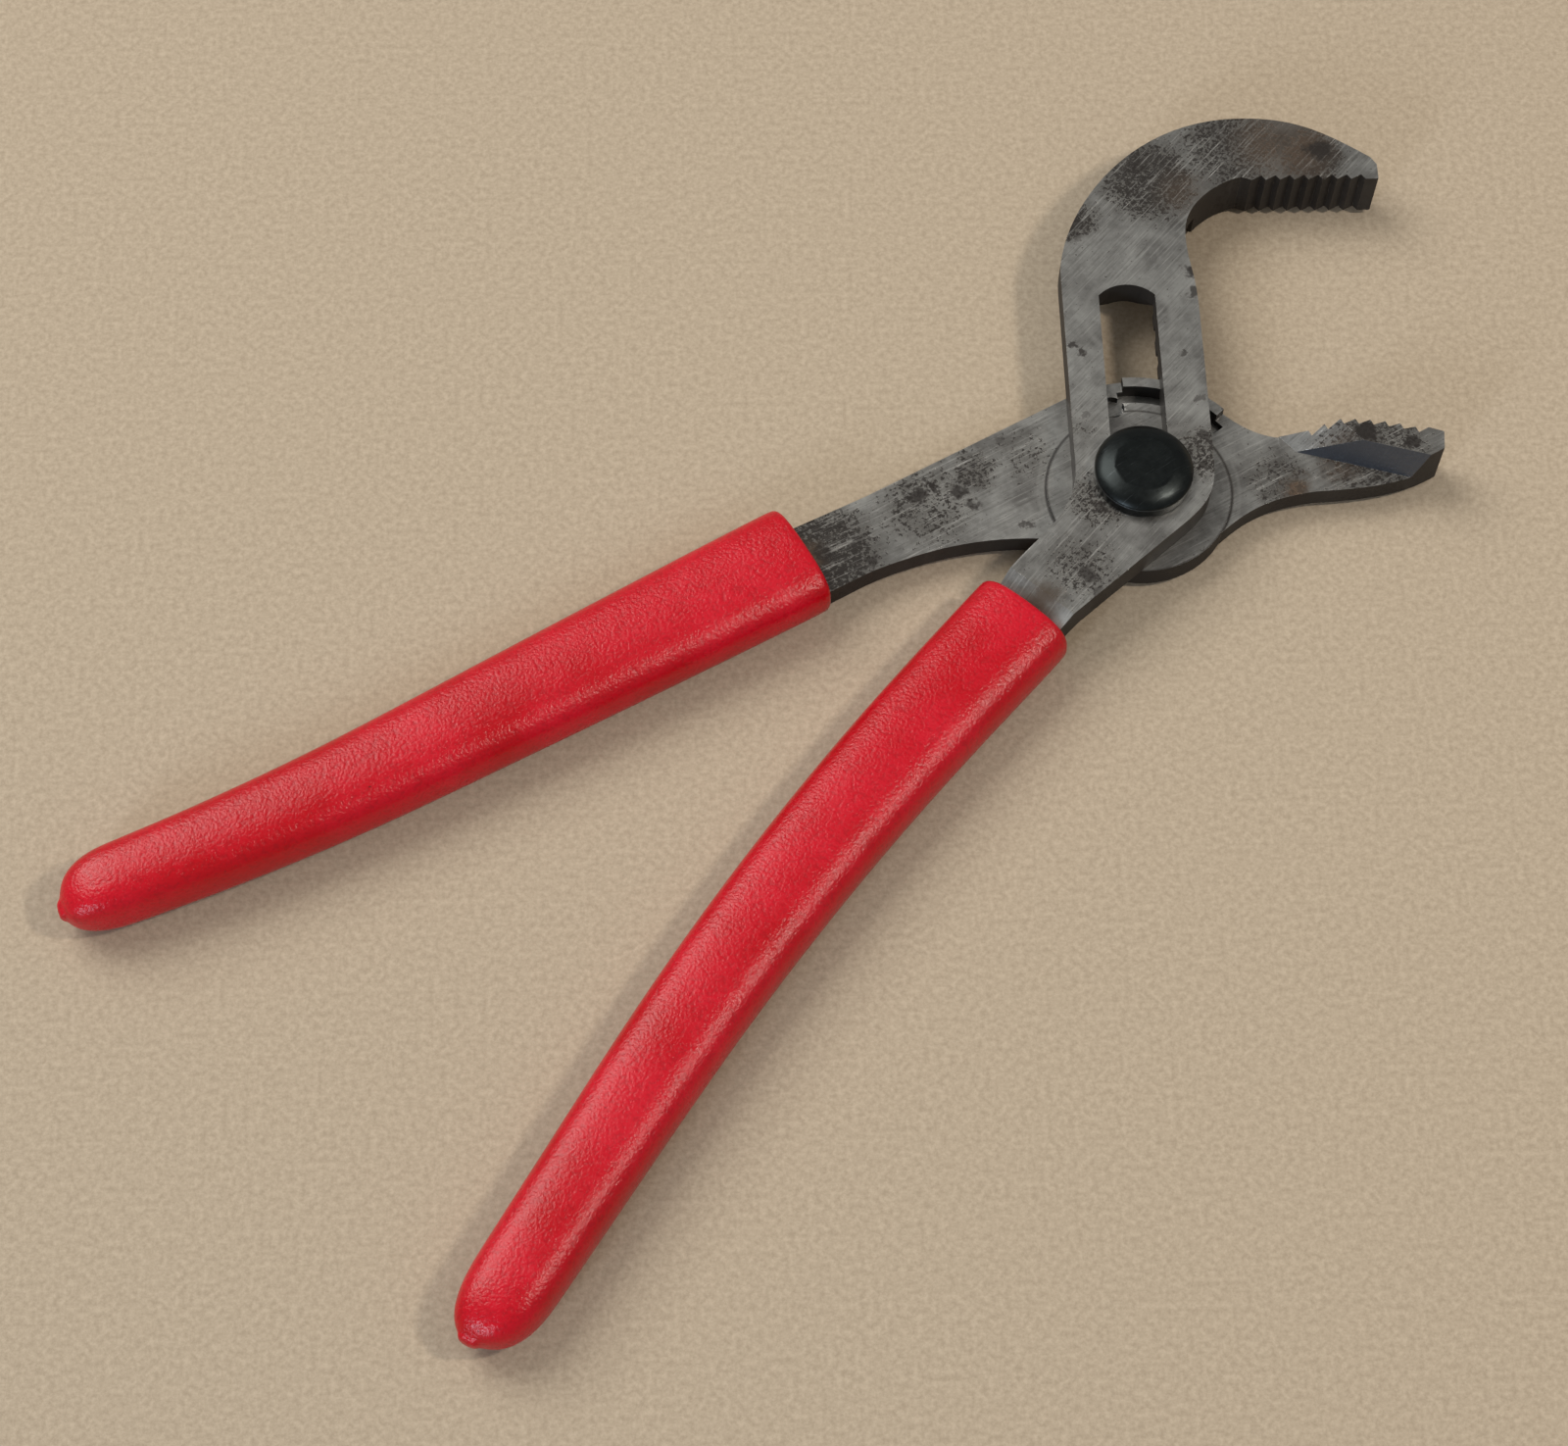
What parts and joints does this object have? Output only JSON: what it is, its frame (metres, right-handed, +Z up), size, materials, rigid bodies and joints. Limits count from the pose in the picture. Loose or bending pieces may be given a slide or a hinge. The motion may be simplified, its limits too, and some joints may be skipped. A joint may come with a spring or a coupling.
{
  "type": "tongue-and-groove slip-joint pliers",
  "caption": "Adjustable slip-joint pliers with a slotted hook jaw, a toothed lower jaw, a domed pivot bolt and red dipped grips.",
  "frame": {"origin": "on the pivot axis, at the flat end of the pivot bolt, level with the surface the tool lies on", "axes": "+Z up along the pivot axis towards the domed bolt head, +Y along the slot towards the hook jaw, +X towards the open end of the jaws"},
  "size_m": [0.2414, 0.2313, 0.0154],
  "materials": {
    "forged_steel": "bare forged steel, ground smooth at the joint, pitted and darkened elsewhere",
    "black_oxide_steel": "polished steel with a glossy black oxide",
    "nut_steel": "plain turned steel, slightly darkened",
    "dipped_vinyl": "glossy dip-moulded vinyl with a fine pebble texture"
  },
  "bodies": {
    "rear": {"rear_lever": "forged_steel", "rear_grip": "dipped_vinyl"},
    "pivot": {"pivot_bolt": "black_oxide_steel", "pivot_nut": "nut_steel"},
    "front": {"front_lever": "forged_steel", "front_grip": "dipped_vinyl"}
  },
  "joints": [
    {"name": "jaw_pivot", "type": "hinge", "parent": "rear", "child": "pivot", "pos_m": [0, 0, 0.006], "axis": [0, 0, 1], "range_deg": [-15, 50]},
    {"name": "setting_slide", "type": "slide", "parent": "pivot", "child": "front", "axis": [0, -1, 0], "range_m": [0, 0.033]}
  ]
}
